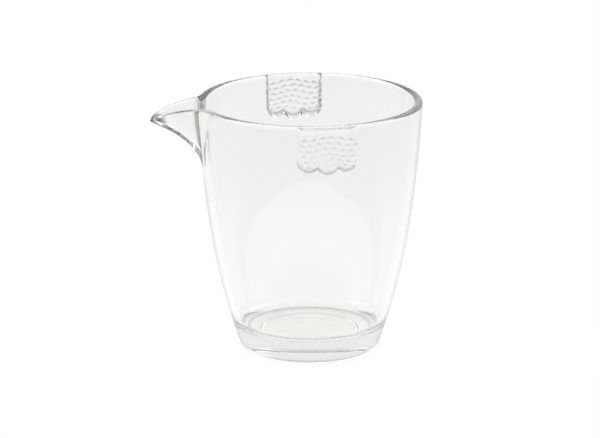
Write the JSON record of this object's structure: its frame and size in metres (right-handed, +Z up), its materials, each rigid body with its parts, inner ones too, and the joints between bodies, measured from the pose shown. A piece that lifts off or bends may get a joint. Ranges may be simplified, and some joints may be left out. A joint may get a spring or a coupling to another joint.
{
  "type": "glass serving pitcher",
  "caption": "Clear glass serving pitcher: a tapered cup on a thick base, with a fused pouring spout and fused hammered finger pads at the rim.",
  "frame": {"origin": "on the cup's axis, at the plane of the ring that the base rests on", "axes": "+Z up along the cup's axis, -X towards the spout's tip, -Y towards the front grip pad"},
  "size_m": [0.1015, 0.0904, 0.095],
  "materials": {
    "clear_glass": "clear, fire polished",
    "hammered_glass": "clear, hammered on the outer face"
  },
  "bodies": {
    "root": {"glass_cup": "clear_glass", "pouring_spout": "clear_glass", "front_grip_pad": "hammered_glass", "rear_grip_pad": "hammered_glass"}
  },
  "joints": []
}
